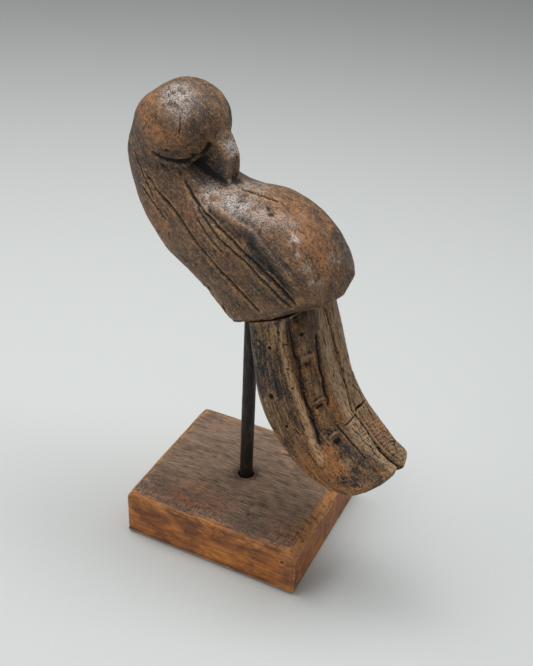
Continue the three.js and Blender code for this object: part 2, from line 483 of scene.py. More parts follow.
# Ridges and hollows that both sides have: path, width, depth, lip, how far the ends fade.
SIDE_GROOVES = [
    (RIDGE, 2.4, -1.8, 0.0, 0.2),
    ([(t - 3, n, z - 7) for t, n, z in RIDGE], 4.5, 2.2, 0.0, 0.2),
    (CHEEK, 1.5, 1.3, 0.2, 0.3),
    (UNDER_CHEEK, 4.5, 1.0, 0.0, 0.3),
    (BEHIND_BEAK, 1.6, 1.2, 0.0, 0.1),
]
SCALES = [
    (-36, -29, 255), (-2, -33, 245), (33, -32, 229), (18, -32, 216), (-45, -30, 237), (-20, -32, 224),
]
BACK_CRACK = [(-10, -4, 276), (0, -4, 278), (12, -5, 278), (22, -4, 276)]
HEAD_CRACK = [(-47, -21, 320), (-45, -23, 313), (-46, -23, 305)]

# Corners planed off before the carving: a place on the plane, the way it faces, and how far it reaches.
PLANED_OFF = [
    ((59.6, 28.7, 222.7), (0.84, 0.33, -0.43), 60),
    ((58, -24, 223), (0.62, -0.42, -0.66), 40),
]
# The beak's faces: its two sides, its front and its top.
BEAK_FACES = [
    ((-30, -6.8, 284), (0.10, -0.99, -0.06)),
    ((-30, 6.8, 284), (0.10, 0.99, -0.06)),
    ((-18.5, 0, 283), (0.99, -0.10, 0.06)),
    ((-22, 0, 297.5), (0.84, -0.10, 0.53)),
]

# Spots of rubbed orange, dark stain (one of them painted shade) and pale spots, which are a painted
# highlight on the head, shoulder and back and pale scuffs elsewhere: t, n, z, radius, amount.
BODY_WARM = [
    (-84, -18, 318, 13, 1.0), (-72, -26, 306, 9, 1.0), (-58, -26, 303, 7, 0.9), (-46, -22, 306, 7, 0.7),
    (-30, -26, 262, 12, 0.6), (48, -8, 264, 14, 0.8), (58, -12, 246, 12, 0.6), (26, -16, 274, 6, 0.9),
    (-60, -28, 248, 14, 0.5), (10, -33, 238, 12, 0.3), (30, 2, 274, 9, 0.7),
]
BODY_STAIN_AND_SHADE = [
    # (-31, -9, 282) is painted shade in the hollow behind the beak; the other spots are dark stains.
    (22, -30, 260, 9, 0.8), (38, -31, 250, 10, 1.0), (52, -29, 238, 10, 0.8), (-31, -9, 282, 12, 1.8),
    (-60, -26, 290, 9, 0.7), (-60, -8, 332, 12, 0.5), (-44, -12, 320, 12, 0.6), (-98, -16, 288, 17, 0.8),
    (-82, -26, 300, 9, 0.6), (-40, -16, 308, 6, 0.7),
    (5, -24, 272, 10, 0.4), (-85, -22, 268, 12, 0.4), (-30, -30, 250, 20, 0.4), (0, -30, 235, 18, 0.3),
    (-100, -4, 305, 14, 0.7), (30, -32, 252, 9, 0.7),
]
BODY_PALE_AND_HIGHLIGHT = [
    (-22, -21, 272, 8, 1.1), (-6, -19, 275, 9, 1.2), (7, -20, 273, 8, 1.0), (-54, -15, 327, 9, 1.1),
    (-45, -18, 318, 6, 0.8), (-60, -16, 329, 7, 1.2), (-21, 1, 300, 6, 1.3), (22, -20, 271, 7, 0.8),
    (47, -18, 265, 3, 1.2), (58, -20, 250, 3, 1.0), (66, -15, 240, 3, 0.9), (60, 2, 250, 3, 1.0),
    (-8, 2, 278, 14, 0.7), (52, -22, 258, 2, 1.0), (63, -20, 243, 2, 1.0),
]


def body_axes(points):
    """Along the body to its rear, across it and up through it: the way its grain runs."""
    along = points @ np.array([0.89, 0, -0.455])
    up = points @ np.array([0.455, 0, 0.89])
    return np.stack([along, points[:, 1], up], axis=1)


def scale_marks(points):
    """Faint C-shaped ridges on both flanks, open to the rear."""
    moved = np.zeros(len(points))
    angle = np.radians(np.linspace(70, 290, 14))[:, None]
    arc = 6.0 * (np.cos(angle) * np.array([0.89, 0, -0.455]) + np.sin(angle) * np.array([0.455, 0, 0.89]))
    for centre in SCALES:
        near = arc + np.array(centre, float)
        moved += groove(points, near, 0.9, -0.22, ends=0.3, wobble=2.0, seed=40)
        moved += groove(points, mirrored(near, (4, 0, 2)), 0.9, -0.22, ends=0.3, wobble=2.0, seed=41)
    return moved


def carve_body(obj):
    """Carves flats, cuts and ridges. Returns the thin cuts' bottoms as (path, width): they are painted
    near black, dirt with painted shade.
    """
    nape = itertools.product([(-101, 302), (-90, 320)], (-22, -11, 0, 11, 22))
    creases = [(t, side, z, 15, 1.0) for (t, z), side in nape]
    creases += [(-31, side, 307, 5, 1.0) for side in (-12, 12)]
    amount = np.clip(blobs(points_of(obj), creases), 0, 1)
    move_to(obj, melted(points_of(obj), edges_of(obj), amount, 200))
    points, normals = points_of(obj), normals_of(obj)
    chisel_all_over(points, normals, hollowness(obj, 40) < -0.12, 170, 0.6, 12, SEED)
    points = melted(points, edges_of(obj), np.full(len(points), 0.6), 8)
    moved = 0.9 * layered(points, 26, 2, 3) + 0.10 * layered(body_axes(points), (9, 1.8, 1.8), 3, 3)
    moved += 0.22 * layered(points, 4.5, 5, 3)
    cuts = []
    for k, (path, width, depth, lip) in enumerate(FLANK_CUTS):
        near = settled(points, smooth_path(path))
        far = settled(points, smooth_path(mirrored(path, (3, 0, k - 2))))
        moved += groove(points, points[near], width, depth, 0.5 * lip, wobble=0.6, seed=10 + k)
        moved += groove(points, points[far], width, 0.8 * depth, 0.5 * lip, wobble=0.9, seed=20 + k)
        cuts += [(near, 0.9 * width), (far, 0.9 * width)]
    for path, width, depth, lip, ends in SIDE_GROOVES:
        for both in (path, mirrored(path)):
            moved += groove(points, smooth_path(both), width, depth, lip, ends)
    moved += groove(points, smooth_path(BROW), 1.7, 2.6, ends=0.15)
    back_crack, head_crack = (settled(points, smooth_path(path)) for path in (BACK_CRACK, HEAD_CRACK))
    moved += groove(points, points[back_crack], 1.1, 3.0, ends=0.15, wobble=0.4, seed=50)
    moved += groove(points, points[head_crack], 0.6, 0.9, ends=0.3, wobble=1.0, seed=51)
    cuts += [(back_crack, 1.6), (head_crack, 0.5)]
    moved += scale_marks(points)
    moved += dent(points, (26, -16, 275), 3.6, 1.3, 0.1) + dent(points, (22, -14, 277), 2.0, 0.8)
    above = (points - seam_front) @ seam_up
    moved -= 1.2 * hill(above, 3) * ease(-normals[:, 1], 0.3, 0.8)
    chips = ease(layered(points, 7, 60, 2), 0.25, 0.6) * ease(-normals[:, 2], 0.1, 0.6) * ease(above, 2, 6)
    moved -= 1.3 * chips
    points += moved[:, None] * normals
    below = np.minimum((points - seam_front) @ seam_up, 0)
    move_to(obj, points - below[:, None] * seam_up)
    return [(points[path], width) for path, width in cuts]


def build_beak():
    obj = remesh(loft("beak_loft", BEAK), VOXEL["body"])
    for place, direction in BEAK_FACES:
        combine(obj, beyond("planer", place, direction, 80))
    return obj


def build_body():
    parts = [loft("body_loft", BODY), build_beak(), ball("head_ball", **HEAD), ball("nape_ball", **NAPE)]
    obj = remesh(joined("carved_body", parts), VOXEL["body"])
    below_seam = box("seam_cutter", (FAR, FAR, FAR), (0, 0, -FAR / 2), seam_slope, seam_front)
    combine(obj, below_seam)
    for place, direction, size in PLANED_OFF:
        combine(obj, beyond("planer", place, direction, size))
    soften(remesh(obj, VOXEL["body"]), 3)
    cuts = carve_body(obj)
    mortise = (TENON["thick"] + 2 * GAP, TENON["wide"] + 2 * GAP, TENON["long"] + GAP + 1)
    place = (0, 0, (TENON["long"] + GAP - 1) / 2)
    combine(obj, box("mortise_cutter", mortise, place, seam_slope, joint_place))
    rod_low = seam_front[2] - seam_front[0] * math.tan(seam_slope)
    bore = tube("bore_cutter", (0, 0, rod_low - 30), (0, 0, rod_low + ROD_IN_BIRD + GAP), ROD_RADIUS + GAP)
    combine(obj, bore)
    combine(obj, peg_cutter())
    paint_body(obj, cuts)
    dress(obj, "bird_body", "bird", carved_wood("old_carving", 0.0))
    return obj


def peg_cutter():
    centre = joint_place + PEG["up"] * seam_up
    half = np.array([0, PEG["long"] / 2 + GAP, 0])
    return tube("peg_cutter", centre - half, centre + half, PEG["radius"] + GAP)


def paint_body(obj, cuts):
    """Stores where the wood is worn, darkened in hollows (dirt with painted shade), stained (with painted
    shade at the seam and behind the beak), rubbed orange, pale (with a painted highlight on the head,
    shoulder and back) and glossy.
    """
    points, normals = points_of(obj), normals_of(obj)
    store(obj, "grain", body_axes(points))
    fine, broad = hollowness(obj, 3), hollowness(obj, 40)
    above = (points - seam_front) @ seam_up
    patchy = layered(points, 18, 70, 3)
    hidden = ease(points[:, 1], 5, 15)
    # Dark stains, far-side patches, and 0.5 * hill(above - 3, 4): painted shade in a band along the seam
    # with the tail.
    stain = blobs(points, BODY_STAIN_AND_SHADE) + hidden * ease(patchy, 0.05, 0.5) + 0.5 * hill(above - 3, 4)
    warm = 0.8 * ease(layered(points, 15, 71, 3), 0.1, 0.5) * (0.4 + 0.6 * hidden)
    # Pale spots, speckled: a painted highlight on the head, shoulder and back, with pale scuffs; the next
    # line adds paler patches where the wood faces up.
    pale = blobs(points, BODY_PALE_AND_HIGHLIGHT) * ease(layered(points, 4, 73, 3), -0.45, 0.15)
    pale += 0.35 * ease(layered(points, 16, 72, 3), 0.2, 0.6) * ease(normals[:, 2], 0.2, 0.9)
    lips = along_cuts(points, cuts, aside=2.4) * ease(layered(points, 5, 74, 3), -0.25, 0.05)
    wear = np.clip(-fine * 5 - broad * 0.5 + 0.9 * lips, 0, 1)
    store_shares(
        obj,
        wear=wear * np.clip(1.2 - stain, 0, 1),
        # Near black in hollows and along the cut bottoms: dirt with painted shade.
        grime=fine * 11 + broad * 0.6 - 0.08 + 1.2 * along_cuts(points, cuts),
        stain=stain,
        warm=blobs(points, BODY_WARM) + warm,
        pale=pale,
        gloss=0.35 * ease(normals[:, 2], -0.2, 0.8) + pale,
    )


# ---------------------------------------------------------------- bird's tail

# Places on the tail are (s, n, b): s down its length from the seam, n across, b up from its middle.
TAIL_CUTS = [                                # path of (s, n), width, depth, lip
    ([(1, -25), (30, -23), (58, -23), (79, -24), (95, -26), (108, -29)], 2.0, 1.3, 0.3),
    ([(20, -3), (48, -5), (64, -6), (84, -9)], 2.2, 1.3, 0.3),
    ([(-2, 9), (15, 10), (32, 14), (55, 15), (78, 13), (91, 10), (103, 8), (122, 9), (150, 9)],
     0.75, 4.0, 0.3),
    ([(99, 27), (100, 20), (102, 9)], 0.9, 3.6, 0.2),
    ([(103, 8), (105, -1), (106, -6)], 0.6, 2.0, 0.1),
    ([(100, -10), (118, -8), (140, -6)], 1.0, 0.9, 0.1),
    ([(60, 24), (90, 25), (120, 23)], 0.7, 0.8, 0.1),
    ([(110, 0), (128, 2), (146, 3)], 0.6, 0.8, 0.1),
]
TAIL_RIDGES = [                              # path of (s, n), width, height
    ([(-2, -24), (11, -29), (28, -29), (47, -29), (68, -28), (93, -30), (115, -33)], 2.4, 0.9),
    ([(2, -14), (35, -16), (73, -16), (107, -19), (124, -24)], 4.5, 1.7),
]
FEATHER_STEPS = [(35, -16), (73, -16), (107, -18)]
TAIL_HOLES = [                               # (s, n, b), radius, depth, rim
    ((24, -32, 4), 1.6, 3.0, 0.7), ((59, -33, -1), 2.4, 0.9, 0.3), ((81, -34, 3), 1.1, 2.2, 0.2),
    ((17, -17, 20), 1.4, 1.6, 0.3), ((12, -29, 12), 0.8, 1.2, 0.0), ((38, -29, 15), 0.8, 1.4, 0.1),
    ((52, -29, 16), 0.7, 1.2, 0.0), ((6, -18, 18), 4.5, 2.6, 0.0), ((2, -12, 18), 3.5, 2.2, 0.0),
    ((118, 6, 16), 0.9, 1.5, 0.0), ((90, -29, 12), 0.8, 1.2, 0.0),
]


def tail_axes(points):
    """(s, n, b) of each point, with the directions in which s and b grow there."""
    middles = np.array([(np.array(s[0]) + np.array(s[1])) / 2 for s in reversed(TAIL)], float)
    line = curve(middles, np.linspace(0, 1, 160))
    steps = np.linalg.norm(np.diff(line, axis=0), axis=1)
    length = np.concatenate([[0], np.cumsum(steps)])
    way = np.gradient(line, axis=0)
    way /= np.linalg.norm(way, axis=1)[:, None]
    flat = points[:, [0, 2]]
    nearest = np.argmin(((flat[:, None, :] - line[None]) ** 2).sum(axis=2), axis=1)
    off = flat - line[nearest]
    down = way[nearest]
    up = np.stack([-down[:, 1], down[:, 0]], axis=1)
    s = length[nearest] + (off * down).sum(axis=1)
    b = (off * up).sum(axis=1)
    still = np.zeros(len(points))
    s_way = np.stack([down[:, 0], still, down[:, 1]], axis=1)
    b_way = np.stack([up[:, 0], still, up[:, 1]], axis=1)
    return np.stack([s, points[:, 1], b], axis=1), s_way, b_way


def on_top(place):
    """A smooth path through places (s, n), as points of (s, n, 0)."""
    return smooth_path([(s, n, 0) for s, n in place])


def carve_tail(obj):
    """Carves grain, cuts, ridges, feather steps and holes, and shapes the tail's end."""
    points, normals = points_of(obj), normals_of(obj)
    chisel_all_over(points, normals, hollowness(obj, 40) < -0.1, 50, 0.35, 10, SEED + 1)
    place, s_way, b_way = tail_axes(points)
    top = ease((normals * b_way).sum(axis=1), 0.15, 0.6)
    side = 1 - ease(np.abs((normals * b_way).sum(axis=1)), 0.3, 0.7)
    ground = place * (1, 1, 0)
    moved = 0.6 * layered(points, 24, 4, 3) + (0.22 + 0.2 * side) * layered(place, (26, 1.8, 1.8), 6, 3)
    moved += 0.12 * layered(points, 2.2, 7, 2)
    for k, (path, width, depth, lip) in enumerate(TAIL_CUTS):
        line = on_top(path)
        moved += top * groove(ground, line, width, depth, 0.5 * lip, wobble=1.0, seed=80 + k)
    ripples = np.sin(place[:, 0] * 1.9 + 4 * layered(place, 9, 8, 3))
    fading = ease(layered(place, 12, 9, 2), -0.3, 0.3)
    moved += 0.10 * top * ripples * fading * ease(place[:, 0], 95, 112) * ease(place[:, 1], -4, 2)
    for path, width, height in TAIL_RIDGES:
        moved += top * groove(ground, on_top(path), width, -height, ends=0.1)
    moved -= 0.9 * top * ease(place[:, 1], 11, 13)
    for s, n in FEATHER_STEPS:
        lip = on_top([(s, n - 5), (s - 2, n), (s, n + 5)])
        moved += top * groove(ground, lip, 1.3, -2.0, ends=0.25)
        moved -= top * 2.6 * hill((place[:, 0] - s - 4.5) / 3.5, 1) * hill((place[:, 1] - n) / 4.5, 1)
    for centre, radius, depth, rim in TAIL_HOLES:
        moved += dent(place, centre, radius, depth, rim)
    tip = ease(place[:, 0], 132, 144)
    stretch = tip * (2.0 * ease(place[:, 1], 8, 11) - 4.5 * hill(place[:, 1] - 9, 1.8) - 1.0)
    below_seam = -((points - seam_front) @ seam_up)
    moved *= 0.25 + 0.75 * ease(below_seam, 0.5, 3.5)
    points += moved[:, None] * normals + stretch[:, None] * s_way
    points[:, 1] += 3.5 * ease(place[:, 1], 8, 30) * hill(place[:, 0] - 42, 34)
    over = np.maximum((points - seam_front) @ seam_up + GAP, 0)
    points -= over[:, None] * seam_up
    move_to(obj, points)


def build_tail():
    obj = remesh(loft("carved_tail", TAIL), VOXEL["tail"])
    above_seam = box("seam_cutter", (FAR, FAR, FAR), (0, 0, FAR / 2 - GAP), seam_slope, seam_front)
    combine(obj, above_seam)
    soften(remesh(obj, VOXEL["tail"]), 2)
    carve_tail(obj)
    size = (TENON["thick"], TENON["wide"], TENON["long"] + TENON["root"])
    place = (0, 0, (TENON["long"] - TENON["root"]) / 2)
    combine(obj, box("tenon", size, place, seam_slope, joint_place), "UNION")
    combine(obj, peg_cutter())
    paint_tail(obj)
    dress(obj, "bird_tail", "bird", carved_wood("old_tail", 1.0))
    return obj


def paint_tail(obj):
    """Blue-black stain in the hollows, painted shade along the seam under the body, orange below the
    steps, pale planks on the right.
    """
    points, normals = points_of(obj), normals_of(obj)
    place, _, b_way = tail_axes(points)
    top = ease((normals * b_way).sum(axis=1), 0.15, 0.6)
    ground = place * (1, 1, 0)
    fine, broad = hollowness(obj, 3), hollowness(obj, 40)
    streaks = layered(place, (40, 5, 5), 90, 3)
    s, n = place[:, 0], place[:, 1]

    def band(path, width):
        gap, _ = from_path(ground + 0.8 * np.stack([streaks] * 3, axis=1), on_top(path))
        return top * hill(gap, width)

    near_side = ease(-n, 27, 30) * (1 - top)
    splits = [(on_top(path), 1.1 * width) for path, width, _, _ in TAIL_CUTS[2:5]]
    blotch = ease(layered(place, (16, 7, 7), 91, 3), -0.12, 0.12)
    stain = 0.7 * band(TAIL_CUTS[0][0], 3.4) + 0.9 * band([(30, -5), (48, -6), (70, -8)], 3.5)
    stain += 0.8 * band([(104, -20), (122, -16), (138, -10)], 5) + 0.6 * band([(120, 2), (136, 3)], 6)
    stain += 2.8 * near_side * blotch * (1 - ease(s, 70, 110))
    stain += 0.9 * blotch * top * ease(s, 120, 136) * ease(-n, -6, 4)
    # 0.7 * hill(s, 7) is painted shade along the seam, where the tail lies under the body's edge.
    stain += 0.7 * hill(s, 7) + 0.8 * (1 - top - near_side).clip(0, 1) * ease(streaks, 0, 0.4)
    warm = 0.9 * band(TAIL_RIDGES[0][0], 3.0) + 0.5 * near_side * ease(s, 60, 110)
    for step_s, step_n in FEATHER_STEPS:
        warm += 1.1 * top * hill(np.hypot(s - step_s - 5, n - step_n), 6)
        stain += 0.9 * top * hill(np.hypot((s - step_s - 11) / 1.6, n - step_n - 1), 3)
    warm += 0.8 * band([(78, -8), (100, -6)], 5) + 0.6 * ease(streaks, 0.1, 0.5) * top
    warm += 0.8 * top * hill(s - 122, 14) * ease(n, 10, 14) + 0.9 * ease(s, 96, 120) * ease(-n, 20, 27)
    pale = 0.8 * top * ease(n, -3, 2) * (1 - ease(n, 8, 12)) + 1.2 * band(TAIL_RIDGES[0][0], 2.0)
    pale += 1.3 * top * hill((s - 120) / 16, 1) * hill((n - 2) / 8, 1) + 0.5 * top * ease(n, 12, 16)
    for step_s, step_n in FEATHER_STEPS:
        pale += 1.2 * top * hill(np.hypot(s - step_s, (n - step_n) / 3), 1.6)
    store(obj, "grain", place)
    store_shares(
        obj,
        wear=-fine * 5 - broad * 0.4,
        # Near black in hollows and deep splits: dirt with painted shade.
        grime=fine * 8 + broad * 0.3 - 0.1 + top * along_cuts(ground, splits),
        stain=stain,
        warm=warm,
        pale=pale,
        gloss=np.full(len(points), 0.25),
    )


# ---------------------------------------------------------------- base block

BLOCK_CRACK = smooth_path([(9, 33, 40.8), (18, 34, 40.8), (30, 33, 40.8), (44, 35, 40.8)])
ROD_HOLE = 6.6                               # the block isn't carved inside the rod's hole
NUT_RECESS = 14.8                            # nor, but for its top, inside the nut's recess


def build_block():
    """The block: made from its CAD node, with worn edges, hatching, dents and a crack."""
    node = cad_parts["base_block"]
    faces = [tuple(face.vertices) for face in node.data.polygons]
    obj = new_object("wooden_block", points_of(node), faces)
    soften(remesh(obj, VOXEL["block"]), 3)
    points, normals = points_of(obj), normals_of(obj)
    low, high = (np.array(corner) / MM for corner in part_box("base_block"))
    from_axis = np.hypot(points[:, 0], points[:, 1])
    outside = ease(from_axis, NUT_RECESS, NUT_RECESS + 1.2) * ease(points[:, 2], low[2] + 0.2, low[2] + 2)
    near_top = ease(points[:, 2], high[2] - 1.5, high[2] - 0.5)
    outside = np.maximum(outside, near_top * ease(from_axis, ROD_HOLE, ROD_HOLE + 1.4))
    edge = np.clip(hollowness(obj, 10) * -4, 0, 1)
    moved = 0.5 * layered(points, 40, 100, 3) - 0.4 + 0.1 * layered(points, 3, 101, 2)
    moved -= edge * (0.5 * ease(layered(points, 14, 102, 3), 0.0, 0.6) + 0.4)
    up = ease(normals[:, 2], 0.5, 0.9)
    moved += up * 0.10 * layered(points, (0.9, 9, 9), 103, 2) * ease(-points[:, 1], 10, 45)
    moved += (1 - up) * 0.12 * layered(points, (22, 9, 1.2), 104, 3)
    moved += groove(points, BLOCK_CRACK, 0.8, 1.2, wobble=0.8, seed=105)
    rings = np.hypot(points[:, 0] - 12, points[:, 1] + 30)
    moved += up * 0.12 * np.sin(rings / 1.7 + 2 * noise(points, 14, 106)) * hill(from_axis - 30, 26)
    moved += dent(points, (59.6, -61, 28.4), 1.6, 0.7, 0.4) + dent(points, (36, -61, 33), 1.0, 0.5)
    moved += dent(points, (22, -40, high[2]), 2.0, 0.5) + dent(points, (-30, 5, high[2]), 2.5, 0.5)
    points += (moved * outside)[:, None] * normals
    points[:, 2] = np.maximum(points[:, 2], low[2])
    move_to(obj, points)
    paint_block(obj, low, high)
    dress(obj, "base_block", "stand", block_wood())
    return obj


def paint_block(obj, low, high):
    points, normals = points_of(obj), normals_of(obj)
    x, y = points[:, 0], points[:, 1]
    fine, broad = hollowness(obj, 3), hollowness(obj, 24)
    top = ease(normals[:, 2], 0.8, 0.95)
    slanted = ease(normals[:, 2], 0.2, 0.4) * (1 - top)
    cloudy = layered(points, 26, 110, 3)
    from_axis = np.hypot(x, y)
    from_crack = from_path(points, BLOCK_CRACK)[0]
    up = high[2]
    warm = blobs(points, [(62, -48, up, 15, 1.2), (-30, -44, up, 16, 0.9), (-2, -46, up, 9, 0.7)])
    warm += 0.7 * hill(y - low[1] - 10, 6) * ease(cloudy, -0.2, 0.3)
    stain = blobs(points, [(30, -54, up, 16, 0.7), (-40, -56, up, 18, 0.5), (70, -61, 15, 9, 0.9)])
    stain += 0.9 * hill(from_crack, 1.2) + 0.9 * hill(from_axis - 7, 5)
    # 0.7 * hill(points[:, 2] - low[2], 2.5) darkens the foot of the block: a painted contact shadow.
    stain += 0.6 * ease(cloudy, 0.15, 0.6) + 0.7 * hill(points[:, 2] - low[2], 2.5)
    right = ease(x, high[0] - 12, high[0] - 6)
    away = ease(from_axis, 8, 12) * (1 - hill(from_crack, 4))
    store(obj, "grain", points)
    store_shares(
        obj,
        wear=np.clip(-fine * 7 - 0.1 + (0.2 + 0.8 * right) * slanted, 0, 1) * away,
        # Near black in hollows: dirt with painted shade.
        grime=(fine * 5 + broad * 0.4 - 0.1) * (1 - slanted),
        stain=stain,
        warm=warm,
        top=top,
        hatch=top * ease(low[1] + 34 - y, 0, 22) * (0.65 + 0.35 * ease(cloudy, -0.3, 0.3)),
    )


# ---------------------------------------------------------------- rod and felt


def build_rod():
    """The steel rod: hammered and pitted, with a rounded top end and a cut thread at its foot."""
    low, high = (corner.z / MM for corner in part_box("mounting_rod"))
    around, rings = 96, 700
    z = np.linspace(low, high, rings)[:, None] * np.ones((1, around))
    angle = np.linspace(0, 2 * math.pi, around, endpoint=False)[None, :] * np.ones((rings, 1))
    ground = np.stack([z, ROD_RADIUS * np.cos(angle), ROD_RADIUS * np.sin(angle)], axis=2).reshape(-1, 3)
    skin = 0.10 * layered(ground, (9, 4, 4), 120, 2) + 0.05 * layered(ground, 1.6, 121, 2) - 0.08
    radius = ROD_RADIUS + skin.reshape(rings, around)
    turn = (z - low) / THREAD["pitch"] - angle / (2 * math.pi)
    tooth = np.abs((turn % 1) - 0.5) * 2
    threaded = 1 - ease((z - low) / THREAD["pitch"], THREAD["turns"], THREAD["turns"] + 1)
    radius -= threaded * THREAD["depth"] * tooth
    radius -= 1.0 * (1 - ease(high - z, -0.01, 1.2)) + 0.8 * (1 - ease(z - low, -0.01, 1.0))
    points = np.stack([radius * np.cos(angle), radius * np.sin(angle), z], axis=2).reshape(-1, 3)
    obj = new_object("steel_rod", points, grid_faces(rings, around))
    dress(obj, "mounting_rod", "stand", black_steel())
    return obj


def build_felt():
    """The felt under the block: a thin sheet with a soft edge, pressed flat by the block's weight."""
    low, high = (np.array(corner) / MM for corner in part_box("felt_sheet"))
    middle, half = (low + high) / 2, (high - low) / 2
    around = 360
    angle = np.linspace(0, 2 * math.pi, around, endpoint=False)[:, None]
    round_way = np.hstack([np.cos(angle), np.sin(angle)])
    outline = np.sign(round_way) * np.abs(round_way) ** (2 / FELT_SQUARENESS) * half[:2]
    frayed = outline * (1 - 0.006 * (1 + layered(np.hstack([outline, 0 * angle]), 2.5, 130, 3)))[:, None]
    shares = np.linspace(0.02, 1, 34)
    rings = [(share, high[2]) for share in shares]
    rings += [(1.002, high[2] - 0.4), (1.0025, (low[2] + high[2]) / 2), (1.001, low[2] + 0.3)]
    rings += [(share, low[2]) for share in shares[::-1]]
    points = np.vstack([
        np.column_stack([frayed * min(share, 1.0) + middle[:2], np.full(around, z)]) for share, z in rings
    ])
    fuzz = 0.12 * layered(points, 1.5, 131, 2) - 0.12
    points[:, 2] += np.where(points[:, 2] > middle[2], fuzz, -fuzz)
    faces = grid_faces(len(rings), around)
    obj = new_object("felt_pad", points, [face[::-1] for face in faces])
    dress(obj, "felt_sheet", "stand", felt_cloth())
    return obj


# ---------------------------------------------------------------- materials


class Paint:
    """One material's nodes. Its methods add a node and return the socket that comes out of it."""

    def __init__(self, name):
        self.material = bpy.data.materials.new(name)
        self.material.use_nodes = True
        self.tree = self.material.node_tree
        self.shader = self.tree.nodes["Principled BSDF"]

    def put(self, socket, value):
        """Feeds a socket: with another socket, a number, a colour or the name of a stored number."""
        if isinstance(value, str):
            value = self.stored(value)
        if isinstance(value, bpy.types.NodeSocket):
            self.tree.links.new(value, socket)
        elif socket.type == "RGBA":
            socket.default_value = (*value, 1)
        else:
            socket.default_value = value

    def node(self, kind, out=0, settings=None, **inputs):
        made = self.tree.nodes.new("ShaderNode" + kind)
        for key, value in (settings or {}).items():
            setattr(made, key, value)
        for key, value in inputs.items():
            self.put(made.inputs[int(key[1:]) if key[1:].isdigit() else key.replace("_", " ")], value)
        return made.outputs[out]

    def set(self, **inputs):
        for key, value in inputs.items():
            self.put(self.shader.inputs[key.replace("_", " ")], value)

    def stored(self, name, out=2):
        """A vertex attribute: out 2 is its number, out 1 its vector."""
        return self.node("Attribute", out, {"attribute_name": name})

    def place(self):
        """Where a point is, in its mesh's own coordinates, in millimetres."""
        return self.scaled(self.node("TexCoord", 3), (1 / MM,) * 3)

    def scaled(self, vector, by):
        return self.node("VectorMath", 0, {"operation": "MULTIPLY"}, i0=vector, i1=by)

    def noise(self, vector, size, detail=4.0, rough=0.6, twist=0.0, stretch=(1, 1, 1)):
        """Noise from 0 to 1, in blobs of that size in millimetres, longer by stretch along each axis."""
        vector = self.scaled(vector, tuple(1 / (size * s) for s in stretch))
        return self.node("TexNoise", 0, None, Vector=vector, Scale=1.0, Detail=detail, Roughness=rough,
                         Distortion=twist)

    def span(self, value, low, high, to_low=0.0, to_high=1.0):
        """value's range from low to high, spread to another range, with soft ends."""
        return self.node("MapRange", 0, {"interpolation_type": "SMOOTHSTEP"}, i0=value, i1=low, i2=high,
                         i3=to_low, i4=to_high)

    def math(self, operation, a, b=0.0):
        return self.node("Math", 0, {"operation": operation}, i0=a, i1=b)

    def times(self, *values):
        product = values[0]
        for value in values[1:]:
            product = self.math("MULTIPLY", product, value)
        return product

    def plus(self, a, b):
        return self.math("ADD", a, b)

    def blend(self, a, a_share, b, b_share):
        return self.plus(self.times(a, a_share), self.times(b, b_share))

    def mix(self, share, a, b, way="MIX"):
        settings = {"data_type": "RGBA", "blend_type": way, "clamp_factor": True}
        return self.node("Mix", 2, settings, i0=share, i6=a, i7=b)

    def over(self, colour, tint, *shares):
        """tint laid over colour, as far as the product of the shares says."""
        return self.mix(self.times(*shares), colour, tint)

    def finish(self, colour, rough, relief, **more):
        """Sets the look and gives the material."""
        self.set(Base_Color=colour, Roughness=rough, Normal=relief, **more)
        return self.material

    def ramp(self, share, stops):
        """Colours at places from 0 to 1."""
        made = self.tree.nodes.new("ShaderNodeValToRGB")
        elements = made.color_ramp.elements
        while len(elements) < len(stops):
            elements.new(0.5)
        for element, (at, colour) in zip(elements, stops):
            element.position = at
            element.color = (*colour, 1)
        self.put(made.inputs[0], share)
        return made.outputs[0]

    def darkened(self, colour, value):
        """colour times a number."""
        grey = self.node("CombineColor", 0, None, i0=value, i1=value, i2=value)
        return self.mix(1.0, colour, grey, "MULTIPLY")

    def bump(self, height, depth, under=None):
        """Relief of that depth in millimetres, on top of another relief."""
        inputs = {"Height": height, "Distance": depth * MM, "Strength": 1.0}
        if under is not None:
            inputs["Normal"] = under
        return self.node("Bump", 0, None, **inputs)


